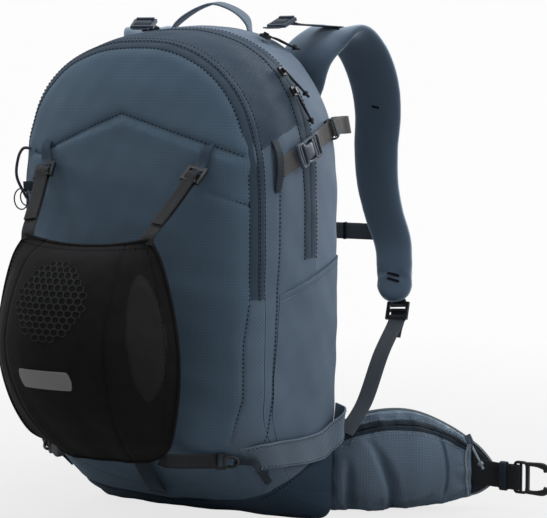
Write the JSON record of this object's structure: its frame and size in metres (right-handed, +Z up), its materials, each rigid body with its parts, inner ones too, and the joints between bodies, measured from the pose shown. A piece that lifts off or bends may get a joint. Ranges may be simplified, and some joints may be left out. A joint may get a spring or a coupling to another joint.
{
  "type": "ski backpack",
  "caption": "Soft ski touring pack with a front helmet holder, padded shoulder straps, a hip belt with zipped pockets and release buckles.",
  "frame": {"origin": "middle of the flat strip under the base", "axes": "+Z up the pack, +Y towards the wearer's back and harness, -Y out through the front face and the helmet holder, +X to the right as seen from the front"},
  "size_m": [0.6668, 0.5981, 0.6009],
  "materials": {
    "shell": "matte ripstop",
    "base": "coarse twill",
    "foam": "padded knit",
    "mesh": "ribbed mesh",
    "webbing": "woven webbing",
    "plastic": "satin moulded",
    "holder": "stretch knit",
    "cordage": "coated tape and cord"
  },
  "bodies": {
    "bag": {"axe_cord": "cordage", "back_pad": "foam", "base_panel": "base", "compression_buckle_female_left": "plastic", "compression_buckle_female_right": "plastic", "compression_strap_rear_left": "webbing", "compression_strap_rear_right": "webbing", "daisy_loop_left": "webbing", "daisy_loop_right": "webbing", "front_compartment": "shell", "front_zip": "cordage", "holder_cover": "holder", "holder_strap_lower_left": "webbing", "holder_strap_lower_right": "webbing", "holder_strap_upper_left": "webbing", "holder_strap_upper_right": "webbing", "lifter_strap_left": "webbing", "lifter_strap_right": "webbing", "lower_strap_left": "webbing", "lower_strap_right": "webbing", "main_bag": "shell", "main_zip": "cordage", "shoulder_strap_left": "foam", "shoulder_strap_right": "foam", "side_pocket_left": "shell", "side_pocket_right": "shell", "ski_loop_left": "webbing", "ski_loop_right": "webbing", "tool_loop": "webbing"},
    "haul_loop": {"haul_loop": "webbing"},
    "main_slider_upper": {"main_zip_slider_upper": "plastic"},
    "main_slider_lower": {"main_zip_slider_lower": "plastic"},
    "main_pull_upper": {"main_zip_pull_upper": "cordage"},
    "main_pull_lower": {"main_zip_pull_lower": "cordage"},
    "top_slider": {"top_zip_slider": "plastic"},
    "front_slider": {"front_zip_slider": "plastic"},
    "lifter_lock_right": {"lifter_buckle_right": "plastic"},
    "lifter_lock_left": {"lifter_buckle_left": "plastic"},
    "lower_lock_right": {"lower_buckle_right": "plastic"},
    "lower_lock_left": {"lower_buckle_left": "plastic"},
    "compression_clip_right": {"compression_buckle_male_right": "plastic"},
    "compression_clip_left": {"compression_buckle_male_left": "plastic"},
    "sternum_right": {"sternum_strap_right": "webbing", "sternum_buckle_female": "plastic"},
    "sternum_left": {"sternum_strap_left": "webbing"},
    "sternum_clip": {"sternum_buckle_male": "plastic"},
    "hip_wing_right": {"hip_fin_right": "mesh", "hip_pocket_right": "shell", "hip_webbing_right": "webbing"},
    "hip_wing_left": {"hip_fin_left": "mesh", "hip_pocket_left": "shell", "hip_webbing_left": "webbing"},
    "hip_clip": {"hip_buckle_male": "plastic"},
    "hip_socket": {"hip_buckle_female": "plastic"},
    "hip_pull_right": {"hip_zip_pull_right": "cordage"},
    "hip_pull_left": {"hip_zip_pull_left": "cordage"},
    "holder_lock_right": {"holder_buckle_right": "plastic"},
    "holder_lock_left": {"holder_buckle_left": "plastic"}
  },
  "joints": [
    {"name": "haul_loop_fold", "type": "hinge", "parent": "bag", "child": "haul_loop", "pos_m": [0, 0.01, 0.577], "axis": [1, 0, 0], "range_deg": [-45, 45]},
    {"name": "main_zip_upper_run", "type": "hinge", "parent": "bag", "child": "main_slider_upper", "pos_m": [0.0284, -0.07, 0.4325], "axis": [0, -1, 0], "range_deg": [0, 32]},
    {"name": "main_zip_lower_run", "type": "hinge", "parent": "bag", "child": "main_slider_lower", "pos_m": [0.0284, -0.07, 0.4325], "axis": [0, -1, 0], "range_deg": [-2, 0]},
    {"name": "main_zip_upper_pull_swing", "type": "hinge", "parent": "main_slider_upper", "child": "main_pull_upper", "pos_m": [0.13892, -0.07105, 0.52384], "axis": [0.7697, -0.0926, 0.6317], "range_deg": [-10, 25]},
    {"name": "main_zip_lower_pull_swing", "type": "hinge", "parent": "main_slider_lower", "child": "main_pull_lower", "pos_m": [0.15422, -0.07104, 0.50084], "axis": [0.8789, -0.0919, 0.4681], "range_deg": [-15, 25]},
    {"name": "top_zip_run", "type": "slide", "parent": "bag", "child": "top_slider", "axis": [-0.9005, 0, 0.4349], "range_m": [0, 0.02]},
    {"name": "front_zip_run", "type": "slide", "parent": "bag", "child": "front_slider", "axis": [0, 0, 1], "range_m": [0, 0.06]},
    {"name": "lifter_right_tilt", "type": "hinge", "parent": "bag", "child": "lifter_lock_right", "pos_m": [0.0905, 0.0012, 0.57], "axis": [0.963, -0.2696, 0], "range_deg": [-24, 26]},
    {"name": "lifter_left_tilt", "type": "hinge", "parent": "bag", "child": "lifter_lock_left", "pos_m": [-0.0905, 0.0012, 0.57], "axis": [0.963, 0.2696, 0], "range_deg": [-24, 26]},
    {"name": "lower_lock_right_tilt", "type": "hinge", "parent": "bag", "child": "lower_lock_right", "pos_m": [0.1854, 0.1354, 0.2423], "axis": [1, 0, 0], "range_deg": [-8, 20]},
    {"name": "lower_lock_left_tilt", "type": "hinge", "parent": "bag", "child": "lower_lock_left", "pos_m": [-0.1854, 0.1354, 0.2423], "axis": [1, 0, 0], "range_deg": [-8, 20]},
    {"name": "compression_right_release", "type": "slide", "parent": "bag", "child": "compression_clip_right", "axis": [0.0254, 0.9455, 0.3245], "range_m": [0, 0.022]},
    {"name": "compression_left_release", "type": "slide", "parent": "bag", "child": "compression_clip_left", "axis": [-0.0254, 0.9455, 0.3245], "range_m": [0, 0.022]},
    {"name": "sternum_height_right", "type": "slide", "parent": "bag", "child": "sternum_right", "axis": [0, 0, 1], "range_m": [-0.025, 0.025]},
    {"name": "sternum_height_left", "type": "slide", "parent": "bag", "child": "sternum_left", "axis": [0, 0, 1], "range_m": [-0.025, 0.025]},
    {"name": "sternum_release", "type": "slide", "parent": "sternum_left", "child": "sternum_clip", "axis": [-1, 0, 0], "range_m": [0, 0.02]},
    {"name": "hip_wing_right_swing", "type": "hinge", "parent": "bag", "child": "hip_wing_right", "pos_m": [0.092, 0.0405, 0.047], "axis": [0, 0, 1], "range_deg": [-3, 35]},
    {"name": "hip_wing_left_swing", "type": "hinge", "parent": "bag", "child": "hip_wing_left", "pos_m": [-0.092, 0.0405, 0.047], "axis": [0, 0, -1], "range_deg": [-25, 12]},
    {"name": "hip_clip_swivel", "type": "hinge", "parent": "hip_wing_right", "child": "hip_clip", "pos_m": [0.3315, 0.151, 0.04], "axis": [0, 0, 1], "range_deg": [-40, 40]},
    {"name": "hip_socket_swivel", "type": "hinge", "parent": "hip_wing_left", "child": "hip_socket", "pos_m": [-0.26585, 0.23886, 0.04], "axis": [0, 0, 1], "range_deg": [-40, 40]},
    {"name": "hip_pull_right_swing", "type": "hinge", "parent": "hip_wing_right", "child": "hip_pull_right", "pos_m": [0.287, 0.12, 0.083], "axis": [0.3489, -0.9371, 0], "range_deg": [-25, 25]},
    {"name": "hip_pull_left_swing", "type": "hinge", "parent": "hip_wing_left", "child": "hip_pull_left", "pos_m": [-0.23781, 0.19244, 0.083], "axis": [-0.6999, -0.7142, 0], "range_deg": [-25, 25]},
    {"name": "holder_lock_right_tilt", "type": "hinge", "parent": "bag", "child": "holder_lock_right", "pos_m": [0.098, -0.193, 0.415], "axis": [1, 0, 0], "range_deg": [-20, 20]},
    {"name": "holder_lock_left_tilt", "type": "hinge", "parent": "bag", "child": "holder_lock_left", "pos_m": [-0.098, -0.193, 0.415], "axis": [1, 0, 0], "range_deg": [-20, 20]}
  ],
  "couplings": [
    {"joint": "sternum_height_left", "follows": "sternum_height_right", "ratio": 1}
  ]
}
